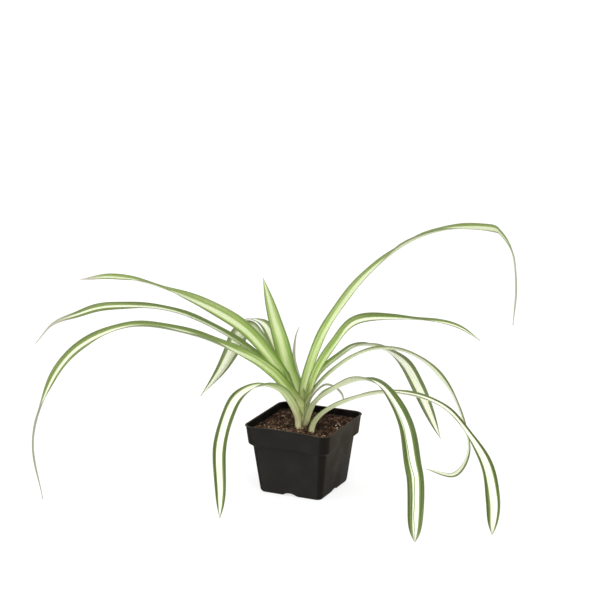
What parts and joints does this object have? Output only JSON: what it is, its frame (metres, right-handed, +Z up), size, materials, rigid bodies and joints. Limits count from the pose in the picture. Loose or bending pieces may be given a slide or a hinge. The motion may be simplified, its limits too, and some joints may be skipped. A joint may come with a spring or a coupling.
{
  "type": "potted spider plant",
  "caption": "Spider plant with long arching green leaves, striped white along the middle, growing in a square black plastic nursery pot with a rim band and bark compost.",
  "frame": {"origin": "middle of the flat base that the pot stands on", "axes": "+Z up, X and Y along the pot's sides; the picture looks along +Y turned 25 degrees towards -X"},
  "size_m": [0.5581, 0.4398, 0.2645],
  "materials": {
    "pot": "matte moulded plastic",
    "soil": "loose bark and peat crumbs",
    "crown": "satin, pale leaf bases",
    "leaf": "satin, green with a white stripe"
  },
  "bodies": {
    "root": {"pot": "pot", "soil": "soil", "crown": "crown", "leaf_left_high": "leaf", "leaf_left_middle": "leaf", "leaf_left_drooping": "leaf", "leaf_back_left": "leaf", "leaf_back_arched": "leaf", "leaf_front_left": "leaf", "leaf_upright": "leaf", "leaf_thin_back": "leaf", "leaf_right_tall": "leaf", "leaf_right_high": "leaf", "leaf_right_back": "leaf", "leaf_right_curled": "leaf", "leaf_front_broad": "leaf", "leaf_front_right": "leaf", "leaf_small": "leaf"}
  },
  "joints": []
}
